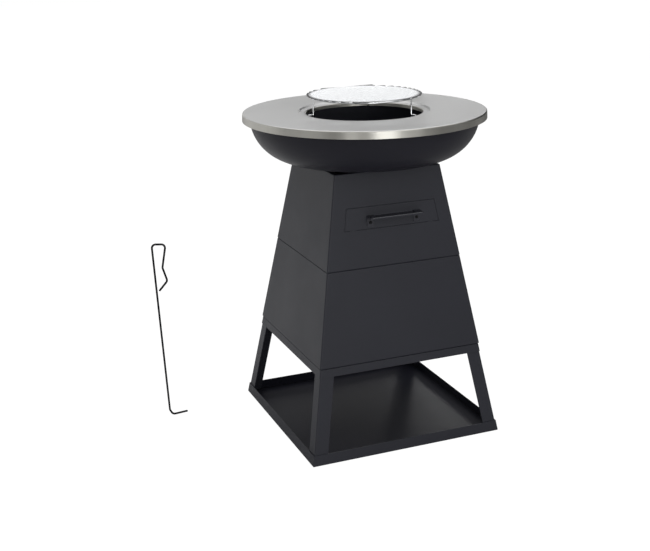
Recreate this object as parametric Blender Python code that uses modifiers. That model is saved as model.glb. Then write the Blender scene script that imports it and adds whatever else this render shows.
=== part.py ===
"""A charcoal grill: a fire bowl with a round griddle plate and a raised cooking grate, on a tapered square
pedestal with an ash drawer, standing over an open log store on a square base tray, and its poker.

Metres, +Z up. The origin is the centre of the tray's underside. The drawer faces -Y.
"""

import math

import bmesh
import bpy
from mathutils import Matrix, Vector

# Clearance between two pieces that touch.
GAP = 0.0003

# The pedestal is a square pyramid whose four sides lean in at one rate. BASE_HALF is half the width
# across the legs' outer faces, carried down to the floor, and LEAN is how far a side comes in per metre.
BASE_HALF = 0.2927
LEAN = 0.1713

# Base tray, folded up from one sheet
TRAY_LIP_HEIGHT = 0.0305
TRAY_SHEET = 0.0015
TRAY_PLAY = 0.0008
TRAY_FOLD = 0.002

# Stand: four angle legs under a square frame
FRAME_TOP = 0.2675
FRAME_HEIGHT = 0.0235
FRAME_SHEET = 0.0015
FRAME_FLANGE = 0.027
LEG_WIDTH = 0.041
LEG_SHEET = 0.0025
LEG_FOLD = 0.004

# Body: two tapered sections of one height, the upper standing a little proud of the lower
SECTION_HEIGHT = 0.2625
BODY_SHEET = 0.0012
LOWER_OVERHANG = 0.0022
UPPER_OVERHANG = 0.0007
JOINT_FLANGE = 0.024
SEAT_FLANGE = 0.015
CORNER_FOLD = 0.0045
FLANGE_FOLD = 0.0016

# Ash drawer. Its front stands DRAWER_RISE over the seam, and its sides run parallel to the body's
# corners, DRAWER_MARGIN inside them.
DRAWER_RISE = 0.1069
DRAWER_FRONT_HEIGHT = 0.0605
DRAWER_MARGIN = 0.0437
DRAWER_GAP = 0.0016
PAN_HEIGHT = 0.046
PAN_SIDE_CLEARANCE = 0.0082
PAN_REAR_CLEARANCE = 0.022
PAN_SHEET = 0.0012
PAN_FOLD = 0.0025
PAN_LIFT = 0.003
RUNNER_SHEET = 0.0015
RUNNER_LEDGE = 0.016
RUNNER_GUIDE = 0.018
RUNNER_SETBACK = 0.012
RUNNER_TAB = 0.024
RUNNER_PLAY = 0.0008

# Handle: a U of sheet with a folded lip along its grip and two screwed feet. Its flat top lies
# HANDLE_BELOW_TOP under the drawer front's upper edge, and it stands HANDLE_OFFSET to one side.
HANDLE_OFFSET = 0.0045
HANDLE_LENGTH = 0.162
HANDLE_BELOW_TOP = 0.023
HANDLE_REACH = 0.035
HANDLE_GRIP = 0.013
HANDLE_ARM = 0.020
HANDLE_SHEET = 0.002
HANDLE_LIP = 0.0055
HANDLE_FOOT_HEIGHT = 0.032
HANDLE_CORNER = 0.009
HANDLE_INNER_CORNER = 0.004
HANDLE_FOLD = 0.0012
HANDLE_SCREW_DROP = 0.0205

# Fire bowl: a shallow dish, a rounded knuckle and a straight flared wall. Its rim lies RIM_INSET
# inside the edge of the plate that rests on it.
RIM_INSET = 0.0154
BOWL_DEPTH = 0.1472
BOWL_DISH_RADIUS = 1.711
BOWL_KNUCKLE_RADIUS = 0.1264
BOWL_WALL_FLARE = math.radians(13.45)
BOWL_SHEET = 0.002
ASH_HOLE_RADIUS = 0.008
ASH_HOLE_CIRCLE_RADIUS = 0.050
ASH_HOLE_COUNT = 6
BOWL_BOLT_INSET = 0.0075

# Charcoal grate: a slotted round plate lying in the dish, with a bar over each row of ash holes
COAL_GRATE_RADIUS = 0.120
COAL_GRATE_SHEET = 0.003
COAL_SLOT_WIDTH = 0.009
COAL_SLOT_PITCH = 0.021
COAL_SLOT_MARGIN = 0.017

# Griddle plate: a stamped ring with a turned-down skirt, and a ledge round its turned-down hole
PLATE_RADIUS = 0.350
PLATE_SHEET = 0.002
PLATE_CORNER = 0.0038
SKIRT_DEPTH = 0.0212
SKIRT_FLARE = 0.0008
HOLE_RADIUS = 0.168
HOLE_CORNER = 0.0025
HOLE_FLANGE_DEPTH = 0.0115
LEDGE_WIDTH = 0.020
LEDGE_DEPTH = 0.0015
LUG_COUNT = 3
LUG_WIDTH = 0.024
LUG_DEPTH = 0.014
LUG_SHEET = 0.003
LUG_PLAY = 0.003

# Cooking grate: one wire bent to and fro over a ring and two cross wires, on three legs. Its edge and
# its legs lie inside the edge of the plate's hole.
GRATE_RISE = 0.0467
GRATE_INSET = 0.003
GRATE_WIRE = 0.003
GRATE_PITCH = 0.0108
GRATE_FREE_END = 0.094
GRATE_FRAME_WIRE = 0.004
GRATE_LEG_INSET = 0.010
GRATE_LEG_WIRE = 0.004
GRATE_LEG_COUNT = 3
GRATE_LEG_TURN = math.radians(62)
GRATE_LEG_BELOW_LEDGE = 0.017
GRATE_FOOT_REACH = 0.016
GRATE_CROSS_SPACING = 0.150

# Poker: one bent wire, standing beside the grill. Each corner is (distance along the poker's own
# upright plane, height), from the foot of the hook.
POKER_WIRE = 0.0062
POKER_FOOT = (-0.563, 0.213)
POKER_TURN = math.radians(-12.9)
POKER_BEND = 0.011
POKER_HOOK_TIP = (0.043, 0.0107)
POKER_HOOK_HEEL = (-0.003, POKER_WIRE / 2)
POKER_SHAFT_FOOT = (-0.0115, 0.0190)
POKER_SHAFT_TOP = (-0.0325, 0.5535)
POKER_LOOP_TOP = (0.0085, 0.5515)
POKER_LOOP_WAIST = (-0.0050, 0.4800)
POKER_LOOP_ELBOW = (0.0070, 0.4380)
POKER_LOOP_END = (-0.0187, 0.4078)

# Fasteners
BOLT_RADIUS = 0.003
BOLT_HEAD_FLATS = 0.010
BOLT_HEAD_HEIGHT = 0.004
NUT_HEIGHT = 0.005
BOLT_TIP = 0.0015
BOLT_INSET = 0.0135
SCREW_RADIUS = 0.0025
SCREW_HEAD_RADIUS = 0.0045
SCREW_HEAD_HEIGHT = 0.0025
SCREW_NUT_FLATS = 0.008
SCREW_NUT_HEIGHT = 0.004

# How far a hole's cutter runs past each face of the sheet
CUT_REACH = 0.005

# Facets round a full turn
TURN_STEPS = 60
ROD_SIDES = 8

# Levels and half widths worked out from the sizes above
SLOPE = math.hypot(1.0, LEAN)
FRAME_PROUD = GAP + FRAME_SHEET * SLOPE
TRAY_PROUD = TRAY_PLAY + TRAY_SHEET * SLOPE
LOWER_PROUD = FRAME_PROUD + LOWER_OVERHANG
UPPER_PROUD = LOWER_PROUD + UPPER_OVERHANG
LOWER_BOTTOM = FRAME_TOP + GAP
LOWER_TOP = LOWER_BOTTOM + SECTION_HEIGHT
UPPER_BOTTOM = LOWER_TOP + GAP
UPPER_TOP = UPPER_BOTTOM + SECTION_HEIGHT


def half_width(z, proud=0.0):
    """Half the width of the pyramid at height z, for a face that stands proud of the legs' faces."""
    return BASE_HALF + proud - LEAN * z


def dish_drop(radius, dish_radius=BOWL_DISH_RADIUS):
    """How far the bowl's dish has risen at this radius."""
    return dish_radius - math.sqrt(dish_radius**2 - radius**2)


DRAWER_BOTTOM = UPPER_BOTTOM + DRAWER_RISE
DRAWER_TOP = DRAWER_BOTTOM + DRAWER_FRONT_HEIGHT
PAN_WIDTH = 2 * (half_width(DRAWER_TOP, UPPER_PROUD) - DRAWER_MARGIN - PAN_SIDE_CLEARANCE)
HANDLE_TOP = DRAWER_TOP - HANDLE_BELOW_TOP
BOWL_RIM_RADIUS = PLATE_RADIUS - RIM_INSET
SEAT_RADIUS = half_width(UPPER_TOP, UPPER_PROUD) - SEAT_FLANGE
FRAME_BOLT_RADIUS = half_width(LOWER_BOTTOM, LOWER_PROUD) - BOLT_INSET
SEAM_BOLT_RADIUS = half_width(LOWER_TOP, LOWER_PROUD) - BOLT_INSET
BOWL_BOLT_RADIUS = SEAT_RADIUS + BOWL_BOLT_INSET
BOWL_BOTTOM = UPPER_TOP + GAP - dish_drop(SEAT_RADIUS)
BOWL_TOP = BOWL_BOTTOM + BOWL_DEPTH + BOWL_SHEET * math.sin(BOWL_WALL_FLARE)
PLATE_TOP = BOWL_TOP + GAP + PLATE_SHEET
LEDGE_TOP = PLATE_TOP - LEDGE_DEPTH
LEDGE_RADIUS = HOLE_RADIUS + LEDGE_WIDTH
GRATE_TOP = PLATE_TOP + GRATE_RISE
GRATE_RADIUS = HOLE_RADIUS - GRATE_INSET
GRATE_LEG_RADIUS = HOLE_RADIUS - GRATE_LEG_INSET


def clear_scene():
    for obj in list(bpy.data.objects):
        bpy.data.objects.remove(obj, do_unlink=True)


def new_collection(name):
    collection = bpy.data.collections.new(name)
    bpy.context.scene.collection.children.link(collection)
    return collection


def material(name, colour, roughness, metallic):
    made = bpy.data.materials.new(name)
    made.use_nodes = True
    shader = made.node_tree.nodes["Principled BSDF"]
    shader.inputs["Base Color"].default_value = (*colour, 1.0)
    shader.inputs["Roughness"].default_value = roughness
    shader.inputs["Metallic"].default_value = metallic
    return made


clear_scene()
PARTS = new_collection("charcoal_grill")
CUTTERS = new_collection("cutters")
BLACK_PAINT = material("black_paint", (0.030, 0.031, 0.034), 0.55, 0.1)
BOWL_PAINT = material("bowl_paint", (0.017, 0.017, 0.021), 0.45, 0.1)
STEEL = material("stainless_steel", (0.62, 0.61, 0.59), 0.32, 1.0)
CHROME = material("chrome", (0.86, 0.87, 0.88), 0.12, 1.0)
IRON = material("raw_iron", (0.035, 0.034, 0.033), 0.7, 0.6)
ZINC = material("zinc", (0.45, 0.45, 0.46), 0.4, 1.0)


def place(mesh, name, coat, collection=PARTS):
    """A new object of this mesh, in a collection and with a material."""
    obj = bpy.data.objects.new(name, mesh)
    collection.objects.link(obj)
    if coat and not mesh.materials:
        mesh.materials.append(coat)
    return obj


def mesh_from(bm, name):
    mesh = bpy.data.meshes.new(name)
    bm.to_mesh(mesh)
    bm.free()
    return mesh


def smooth(mesh, angle=math.radians(50)):
    mesh.shade_smooth()
    mesh.set_sharp_from_angle(angle=angle)


def baked(obj):
    """Puts the object's evaluated shape in a plain mesh object of the same name and place."""
    graph = bpy.context.evaluated_depsgraph_get()
    mesh = bpy.data.meshes.new_from_object(obj.evaluated_get(graph))
    bm = bmesh.new()
    bm.from_mesh(mesh)
    bmesh.ops.remove_doubles(bm, verts=bm.verts, dist=0.00002)
    bm.to_mesh(mesh)
    bm.free()
    smooth(mesh)
    name, matrix, collection = obj.name, obj.matrix_world.copy(), obj.users_collection[0]
    bpy.data.objects.remove(obj, do_unlink=True)
    made = bpy.data.objects.new(name, mesh)
    collection.objects.link(made)
    made.matrix_world = matrix
    mesh.name = name
    return made


def boolean(obj, tool, operation="DIFFERENCE"):
    """Cuts or joins with a tool object, which moves to the cutters."""
    for collection in list(tool.users_collection):
        collection.objects.unlink(tool)
    CUTTERS.objects.link(tool)
    tool.hide_render = True
    tool.display_type = "WIRE"
    modifier = obj.modifiers.new(tool.name, "BOOLEAN")
    modifier.operation = operation
    modifier.object = tool
    modifier.solver = "EXACT"


def solidify(obj, sheet):
    """Gives an open surface its sheet thickness, behind the surface."""
    modifier = obj.modifiers.new("sheet", "SOLIDIFY")
    modifier.thickness = sheet
    modifier.offset = -1.0
    modifier.use_even_offset = True
    modifier.use_quality_normals = True


def fold(obj, radius, segments=2):
    """Rounds the weighted fold lines of an open surface."""
    modifier = obj.modifiers.new("folds", "BEVEL")
    modifier.width = radius
    modifier.segments = segments
    modifier.limit_method = "WEIGHT"


def square_loft(name, rings, weights, coat, closed_start=False):
    """An open surface through square rings of (half width, z). weights holds one fold weight for each
    ring's edges, then one for the corner edges between the rings."""
    bm = bmesh.new()
    weight = bm.edges.layers.float.new("bevel_weight_edge")
    loops = []
    for half, z in rings:
        corners = ((-half, -half), (half, -half), (half, half), (-half, half))
        loops.append([bm.verts.new((x, y, z)) for x, y in corners])
    if closed_start:
        bm.faces.new(reversed(loops[0]))
    for low, high in zip(loops, loops[1:]):
        for i in range(4):
            bm.faces.new((low[i], low[i - 3], high[i - 3], high[i]))
    for loop, ring_weight in zip(loops, weights):
        for i in range(4):
            edge = bm.edges.get((loop[i], loop[i - 3]))
            if not edge.is_boundary:
                edge[weight] = ring_weight
    for index, (low, high) in enumerate(zip(loops, loops[1:])):
        for a, b in zip(low, high):
            if rings[index][1] != rings[index + 1][1]:
                bm.edges.get((a, b))[weight] = weights[-1]
    return place(mesh_from(bm, name), name, coat)


def rod(name, start, end, radius, sides=ROD_SIDES, coat=None):
    """A straight round bar, or a cylindrical cutter, between two points."""
    start, end = Vector(start), Vector(end)
    along = end - start
    turn = along.to_track_quat("Z", "Y").to_matrix().to_4x4()
    bm = bmesh.new()
    bmesh.ops.create_cone(
        bm, cap_ends=True, segments=sides, radius1=radius, radius2=radius, depth=along.length,
        matrix=Matrix.Translation((start + end) / 2) @ turn,
    )
    mesh = mesh_from(bm, name)
    smooth(mesh)
    return place(mesh, name, coat)


def prism(name, outline, y_front, y_rear):
    """A block cutter: an outline of (x, z) points, anticlockwise seen from -Y, run along Y."""
    bm = bmesh.new()
    face = bm.faces.new([bm.verts.new((x, y_front, z)) for x, z in outline])
    run = bmesh.ops.extrude_face_region(bm, geom=[face])
    moved = [item for item in run["geom"] if isinstance(item, bmesh.types.BMVert)]
    bmesh.ops.translate(bm, verts=moved, vec=(0, y_rear - y_front, 0))
    bmesh.ops.recalc_face_normals(bm, faces=bm.faces)
    return place(mesh_from(bm, name), name, None)


def turned(name, profile, coat, sheet=None, steps=TURN_STEPS):
    """A round shape from a profile of (radius, z), which runs down its outer side."""
    bm = bmesh.new()
    verts = [bm.verts.new((r, 0, z)) for r, z in profile]
    for a, b in zip(verts, verts[1:]):
        bm.edges.new((a, b))
    obj = place(mesh_from(bm, name), name, coat)
    screw = obj.modifiers.new("turn", "SCREW")
    screw.steps = steps
    screw.render_steps = steps
    screw.use_merge_vertices = True
    screw.merge_threshold = 0.00005
    screw.use_smooth_shade = True
    if sheet:
        solidify(obj, sheet)
    return obj


def wire(name, points, radius, coat, cyclic=False):
    """A round wire through these points."""
    curve = bpy.data.curves.new(name, "CURVE")
    curve.dimensions = "3D"
    curve.bevel_depth = radius
    curve.bevel_resolution = 2
    curve.use_fill_caps = True
    spline = curve.splines.new("POLY")
    spline.points.add(len(points) - 1)
    for target, point in zip(spline.points, points):
        target.co = (*point, 1.0)
    spline.use_cyclic_u = cyclic
    curve.materials.append(coat)
    obj = bpy.data.objects.new(name, curve)
    PARTS.objects.link(obj)
    return obj


def flat_plate(name, outlines, thickness, z_top, coat):
    """A flat plate under z_top, from its outline and the outlines of its holes, as lists of (x, y)."""
    curve = bpy.data.curves.new(name, "CURVE")
    curve.dimensions = "2D"
    curve.fill_mode = "BOTH"
    curve.extrude = thickness / 2
    for outline in outlines:
        spline = curve.splines.new("POLY")
        spline.points.add(len(outline) - 1)
        for target, (x, y) in zip(spline.points, outline):
            target.co = (x, y, 0, 1)
        spline.use_cyclic_u = True
    curve.materials.append(coat)
    obj = bpy.data.objects.new(name, curve)
    PARTS.objects.link(obj)
    obj.location.z = z_top - thickness / 2
    bpy.context.view_layer.update()
    return baked(obj)


def arc(centre, radius, start, end, segments):
    """Points along an arc in the plane of two axes, from one angle to another."""
    steps = (start + (end - start) * i / segments for i in range(segments + 1))
    return [(centre[0] + radius * math.cos(a), centre[1] + radius * math.sin(a)) for a in steps]


def polar(radius, angle):
    return radius * math.cos(angle), radius * math.sin(angle)


def rounded(points, radius, segments):
    """The open path through these points with its inner corners rounded."""
    path = [Vector(points[0])]
    for before, corner, after in zip(points, points[1:], points[2:]):
        corner = Vector(corner)
        back = (Vector(before) - corner).normalized()
        forth = (Vector(after) - corner).normalized()
        half_turn = back.angle(forth) / 2
        reach = radius / math.tan(half_turn)
        centre = corner + (back + forth).normalized() * (radius / math.sin(half_turn))
        first = (corner + back * reach - centre).normalized()
        last = (corner + forth * reach - centre).normalized()
        path += [centre + first.slerp(last, i / segments) * radius for i in range(segments + 1)]
    path.append(Vector(points[-1]))
    return path


def carrier(name, location, children):
    """An empty on a moving piece's joint axis, which its pieces hang on."""
    empty = bpy.data.objects.new(name, None)
    empty.location = location
    empty.empty_display_size = 0.05
    PARTS.objects.link(empty)
    bpy.context.view_layer.update()
    for child in children:
        child.parent = empty
        child.matrix_parent_inverse = empty.matrix_world.inverted()


def on_panel(x, z, out):
    """A frame on the front panel: X across, Y up the slope, Z outwards, out metres off its outer face."""
    across = Vector((1, 0, 0))
    up = Vector((0, LEAN, 1)) / SLOPE
    outward = Vector((0, -1, LEAN)) / SLOPE
    matrix = Matrix((across, up, outward)).transposed().to_4x4()
    surface = Vector((x, -half_width(z, UPPER_PROUD), z))
    matrix.translation = surface + outward * out
    return matrix


# Fasteners


def hexagon_radius(flats):
    return flats / math.sqrt(3)


def hex_bolt_mesh(length):
    """A hexagon bolt: its head's seat is at z 0 and its shank runs to -length."""
    bolt = rod("bolt", (0, 0, 0), (0, 0, BOLT_HEAD_HEIGHT), hexagon_radius(BOLT_HEAD_FLATS), 6, ZINC)
    shank = rod("shank", (0, 0, BOLT_HEAD_HEIGHT / 2), (0, 0, -length), BOLT_RADIUS)
    boolean(bolt, shank, "UNION")
    return tool_mesh(bolt, shank)


def nut_mesh(flats, height, bore):
    """A hexagon nut on z 0 to -height, with a clear round bore."""
    nut = rod("nut", (0, 0, 0), (0, 0, -height), hexagon_radius(flats), 6, ZINC)
    hole = rod("nut_bore", (0, 0, height), (0, 0, -2 * height), bore)
    boolean(nut, hole)
    return tool_mesh(nut, hole)


def tool_mesh(obj, tool):
    """The evaluated mesh of a joined or cut object, whose objects are then removed."""
    bpy.context.view_layer.update()
    made = baked(obj)
    mesh = made.data
    bpy.data.objects.remove(made, do_unlink=True)
    bpy.data.objects.remove(tool, do_unlink=True)
    return mesh


def joint_bolts(prefix, radius, seat_z, stack, upwards):
    """Four bolts and nuts, one at the middle of each side, through a stack of sheet. seat_z is where
    the heads sit, and upwards says that they are put in from below."""
    length = stack + GAP + NUT_HEIGHT + BOLT_TIP
    bolt = hex_bolt_mesh(length)
    nut = nut_mesh(BOLT_HEAD_FLATS, NUT_HEIGHT, BOLT_RADIUS + GAP)
    made = []
    for number in range(4):
        turn = Matrix.Rotation(math.radians(90) * number, 4, "Z")
        flip = Matrix.Rotation(math.pi, 4, "X") if upwards else Matrix.Identity(4)
        way = 1 if upwards else -1
        seat = Matrix.Translation((0, -radius, seat_z)) @ flip
        far = Matrix.Translation((0, -radius, seat_z + way * (stack + GAP))) @ flip
        for mesh, kind, matrix in ((bolt, "bolt", seat), (nut, "nut", far)):
            obj = place(mesh, f"{prefix}_{kind}_{number + 1}", ZINC)
            obj.matrix_world = turn @ matrix
            made.append(obj)
    return made


def bolt_holes(obj, prefix, radius, z, reach=CUT_REACH):
    """Cuts the four clearance holes of a bolted joint."""
    for number in range(4):
        x, y = polar(radius, math.radians(90) * number)
        boolean(obj, rod(f"{prefix}_{number + 1}", (x, y, z - reach), (x, y, z + reach), BOLT_RADIUS + GAP))


# Stand


def base_tray():
    """The square tray that everything stands on, its lips leaning in with the legs."""
    top = TRAY_LIP_HEIGHT
    rings = [(half_width(0, TRAY_PROUD), 0), (half_width(top, TRAY_PROUD), top)]
    tray = square_loft("base_tray", rings, (1, 0, 1), BLACK_PAINT, closed_start=True)
    fold(tray, TRAY_FOLD)
    solidify(tray, TRAY_SHEET)


def stand_legs():
    """Four angle legs along the pyramid's corners, from the tray's floor to under the frame."""
    low = TRAY_SHEET + LEG_SHEET * LEAN + GAP
    high = FRAME_TOP - FRAME_SHEET - LEG_SHEET * LEAN - GAP
    bm = bmesh.new()
    weight = bm.edges.layers.float.new("bevel_weight_edge")
    rows = []
    for z in (low, high):
        half = half_width(z)
        points = ((-half, -half + LEG_WIDTH), (-half, -half), (-half + LEG_WIDTH, -half))
        rows.append([bm.verts.new((x, y, z)) for x, y in points])
    for i in range(2):
        bm.faces.new((rows[0][i], rows[0][i + 1], rows[1][i + 1], rows[1][i]))
    bm.edges.get((rows[0][1], rows[1][1]))[weight] = 1
    mesh = mesh_from(bm, "stand_leg")
    for number, name in enumerate(("front_left", "front_right", "rear_right", "rear_left")):
        leg = place(mesh, f"leg_{name}", BLACK_PAINT)
        leg.rotation_euler.z = math.radians(90) * number
        fold(leg, LEG_FOLD)
        solidify(leg, LEG_SHEET)


def stand_frame():
    """The square frame round the legs' tops, with the flange that the body stands on."""
    low = FRAME_TOP - FRAME_HEIGHT
    half = half_width(FRAME_TOP, FRAME_PROUD)
    rings = [(half_width(low, FRAME_PROUD), low), (half, FRAME_TOP), (half - FRAME_FLANGE, FRAME_TOP)]
    frame = square_loft("stand_frame", rings, (0, FLANGE_FOLD / LEG_FOLD, 0, 1), BLACK_PAINT)
    fold(frame, LEG_FOLD)
    solidify(frame, FRAME_SHEET)
    bolt_holes(frame, "frame_hole", FRAME_BOLT_RADIUS, FRAME_TOP)


# Body


def body_section(name, bottom, top, proud, bottom_flange, top_flange):
    """A tapered section of folded sheet with a flange turned in at its bottom and its top."""
    low_half, high_half = half_width(bottom, proud), half_width(top, proud)
    rings = [(low_half - bottom_flange, bottom), (low_half, bottom)]
    rings += [(high_half, top), (high_half - top_flange, top)]
    edge = FLANGE_FOLD / CORNER_FOLD
    section = square_loft(name, rings, (0, edge, edge, 0, 1), BLACK_PAINT)
    fold(section, CORNER_FOLD)
    solidify(section, BODY_SHEET)
    return section


def lower_body():
    flange = JOINT_FLANGE
    section = body_section("lower_body", LOWER_BOTTOM, LOWER_TOP, LOWER_PROUD, flange, flange)
    bolt_holes(section, "lower_hole", FRAME_BOLT_RADIUS, LOWER_BOTTOM)
    bolt_holes(section, "seam_hole_lower", SEAM_BOLT_RADIUS, LOWER_TOP)


def drawer_outline(growth):
    """The drawer front's outline on the front panel as (x, z), grown by a margin all round."""
    low, high = DRAWER_BOTTOM - growth, DRAWER_TOP + growth
    low_half = half_width(low, UPPER_PROUD) - DRAWER_MARGIN + growth
    high_half = half_width(high, UPPER_PROUD) - DRAWER_MARGIN + growth
    return [(-low_half, low), (low_half, low), (high_half, high), (-high_half, high)]


def upper_body():
    flanges = (JOINT_FLANGE, SEAT_FLANGE)
    section = body_section("upper_body", UPPER_BOTTOM, UPPER_TOP, UPPER_PROUD, *flanges)
    bolt_holes(section, "seam_hole_upper", SEAM_BOLT_RADIUS, UPPER_BOTTOM)
    bolt_holes(section, "seat_hole", BOWL_BOLT_RADIUS, UPPER_TOP)
    front = -half_width(DRAWER_BOTTOM, UPPER_PROUD)
    rear = -half_width(DRAWER_TOP, UPPER_PROUD)
    opening = drawer_outline(DRAWER_GAP)
    boolean(section, prism("drawer_opening", opening, front - CUT_REACH, rear + CUT_REACH))


def body_bolts():
    stack = FRAME_SHEET + GAP + BODY_SHEET
    joint_bolts("stand", FRAME_BOLT_RADIUS, FRAME_TOP - FRAME_SHEET - GAP, stack + GAP, True)
    stack = BODY_SHEET + GAP + BODY_SHEET
    joint_bolts("seam", SEAM_BOLT_RADIUS, LOWER_TOP - BODY_SHEET - GAP, stack + GAP, True)


# Ash drawer


def drawer_front():
    """The closing panel, flush with the body's front face."""
    bm = bmesh.new()
    corners = [bm.verts.new((x, -half_width(z, UPPER_PROUD), z)) for x, z in drawer_outline(0)]
    bm.faces.new(corners)
    front = place(mesh_from(bm, "drawer_front"), "drawer_front", BLACK_PAINT)
    solidify(front, BODY_SHEET)
    return front


def pan_floor():
    """Height of the drawer pan's underside."""
    return DRAWER_BOTTOM + PAN_LIFT


def pan_inset():
    """How far the pan's front wall lies behind the body's front face."""
    return (BODY_SHEET + GAP) * SLOPE


def ash_pan():
    """The open pan behind the front, with a front wall that leans with it."""
    low, high = pan_floor(), pan_floor() + PAN_HEIGHT
    rear = half_width(low, UPPER_PROUD) - PAN_REAR_CLEARANCE
    x = PAN_WIDTH / 2
    bm = bmesh.new()
    weight = bm.edges.layers.float.new("bevel_weight_edge")
    loops = []
    for z in (low, high):
        front = -(half_width(z, UPPER_PROUD) - pan_inset())
        corners = ((-x, front), (x, front), (x, rear), (-x, rear))
        loops.append([bm.verts.new((px, py, z)) for px, py in corners])
    bm.faces.new(reversed(loops[0]))
    for i in range(4):
        bm.faces.new((loops[0][i], loops[0][i - 3], loops[1][i - 3], loops[1][i]))
    for edge in bm.edges:
        edge[weight] = 0 if edge.is_boundary else 1
    pan = place(mesh_from(bm, "ash_drawer_pan"), "ash_drawer_pan", BLACK_PAINT)
    fold(pan, PAN_FOLD, 1)
    solidify(pan, PAN_SHEET)
    return pan


def drawer_runner(side):
    """A folded runner under one edge of the pan: a ledge, a guide beside the pan, and a tab turned
    down at each end against the front and rear panels. side is -1 or 1."""
    top = pan_floor() - GAP
    x_guide = side * (PAN_WIDTH / 2 + RUNNER_PLAY)
    x_ledge = x_guide - side * RUNNER_LEDGE
    low = top - RUNNER_TAB

    def reach(z):
        return half_width(z, UPPER_PROUD) - (BODY_SHEET + GAP) * SLOPE

    bm = bmesh.new()

    def row(z, x):
        return bm.verts.new((x, -reach(z), z)), bm.verts.new((x, reach(z), z))

    ledge_in, ledge_out = row(top, x_ledge), row(top, x_guide)
    tab_in, tab_out = row(low, x_ledge), row(low, x_guide)
    guide_y = reach(top) - RUNNER_GUIDE * LEAN - RUNNER_SETBACK
    guide_low = [bm.verts.new((x_guide, y, top)) for y in (-guide_y, guide_y)]
    guide_high = [bm.verts.new((x_guide, y, top + RUNNER_GUIDE)) for y in (-guide_y, guide_y)]
    outer_edge = (ledge_out[0], guide_low[0], guide_low[1], ledge_out[1])
    ledge = bm.faces.new((ledge_in[0], *outer_edge, ledge_in[1]))
    bm.faces.new((guide_low[0], guide_high[0], guide_high[1], guide_low[1]))
    bm.faces.new((ledge_in[0], tab_in[0], tab_out[0], ledge_out[0]))
    bm.faces.new((ledge_in[1], ledge_out[1], tab_out[1], tab_in[1]))
    bmesh.ops.recalc_face_normals(bm, faces=bm.faces)
    ledge.normal_update()
    if ledge.normal.z < 0:
        bmesh.ops.reverse_faces(bm, faces=bm.faces)
    name = "runner_left" if side < 0 else "runner_right"
    runner = place(mesh_from(bm, name), name, ZINC)
    solidify(runner, RUNNER_SHEET)
    return runner


def handle():
    """A U of sheet whose grip has a folded lip, standing on two feet that lie on the drawer front."""

    def back(z):
        return -half_width(z, UPPER_PROUD) - GAP * SLOPE

    root = back(HANDLE_TOP)
    front = root - HANDLE_REACH
    grip_back = front + HANDLE_GRIP
    outer = HANDLE_LENGTH / 2
    inner = outer - HANDLE_ARM
    outside = [(-outer, root), (-outer, front), (outer, front), (outer, root)]
    outside = rounded(outside, HANDLE_CORNER, 4)
    inside = [(inner, root), (inner, grip_back), (-inner, grip_back), (-inner, root)]
    inside = rounded(inside, HANDLE_INNER_CORNER, 2)
    bm = bmesh.new()
    weight = bm.edges.layers.float.new("bevel_weight_edge")

    def vert(x, y, z):
        return bm.verts.new((x + HANDLE_OFFSET, y, z))

    rim = [vert(p.x, p.y, HANDLE_TOP) for p in outside + inside]
    bm.faces.new(rim)
    folds = list(zip(rim[1 : len(outside) - 1], rim[2 : len(outside) - 1]))
    lip = [vert(p.x, p.y, HANDLE_TOP - HANDLE_LIP) for p in outside[1:-1]]
    for (a, b), c, d in zip(folds, lip, lip[1:]):
        bm.faces.new((a, c, d, b))
    low = HANDLE_TOP - HANDLE_FOOT_HEIGHT
    for a, b in ((rim[-1], rim[0]), (rim[len(outside) - 1], rim[len(outside)])):
        foot = [vert(v.co.x - HANDLE_OFFSET, back(low), low) for v in (a, b)]
        bm.faces.new((a, foot[0], foot[1], b))
        folds.append((a, b))
    for a, b in folds:
        bm.edges.get((a, b))[weight] = 1
    bmesh.ops.recalc_face_normals(bm, faces=bm.faces)
    made = place(mesh_from(bm, "handle"), "handle", BLACK_PAINT)
    fold(made, HANDLE_FOLD)
    solidify(made, HANDLE_SHEET)
    return made


def handle_fixings(made, front, pan):
    """The two screws and nuts that hold the handle, the front and the pan together, and their holes."""
    screw_z = HANDLE_TOP - HANDLE_SCREW_DROP
    stack = GAP + HANDLE_SHEET
    depth = BODY_SHEET + GAP + PAN_SHEET + GAP
    tip = -(HANDLE_SHEET + 2 * GAP + depth + SCREW_NUT_HEIGHT + BOLT_TIP)
    round_head = arc((0, 0), 1, math.pi / 2, 0, 4)[1:]
    head = [(SCREW_HEAD_RADIUS * x, SCREW_HEAD_HEIGHT * y) for x, y in round_head]
    profile = [(0, SCREW_HEAD_HEIGHT), *head, (SCREW_RADIUS, 0), (SCREW_RADIUS, tip), (0, tip)]
    nut = nut_mesh(SCREW_NUT_FLATS, SCREW_NUT_HEIGHT, SCREW_RADIUS + GAP)
    pieces = []
    for side, word in ((-1, "left"), (1, "right")):
        x = HANDLE_OFFSET + side * (HANDLE_LENGTH - HANDLE_ARM) / 2
        screw = turned(f"handle_screw_{word}", profile, ZINC, steps=12)
        screw.matrix_world = on_panel(x, screw_z, stack + GAP)
        nut_obj = place(nut, f"handle_nut_{word}", ZINC)
        nut_obj.matrix_world = on_panel(x, screw_z, -depth)
        for target in (made, front, pan):
            start = on_panel(x, screw_z, CUT_REACH).translation
            end = on_panel(x, screw_z, -CUT_REACH).translation
            boolean(target, rod(f"{target.name}_hole_{word}", start, end, SCREW_RADIUS + GAP))
        pieces += [screw, nut_obj]
    return pieces


def ash_drawer():
    front, pan, pull = drawer_front(), ash_pan(), handle()
    pieces = [front, pan, pull] + handle_fixings(pull, front, pan)
    drawer_runner(-1)
    drawer_runner(1)
    middle = (DRAWER_BOTTOM + DRAWER_TOP) / 2
    carrier("ash_drawer_slide", (0, -half_width(middle, UPPER_PROUD), middle), pieces)


# Fire bowl


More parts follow.
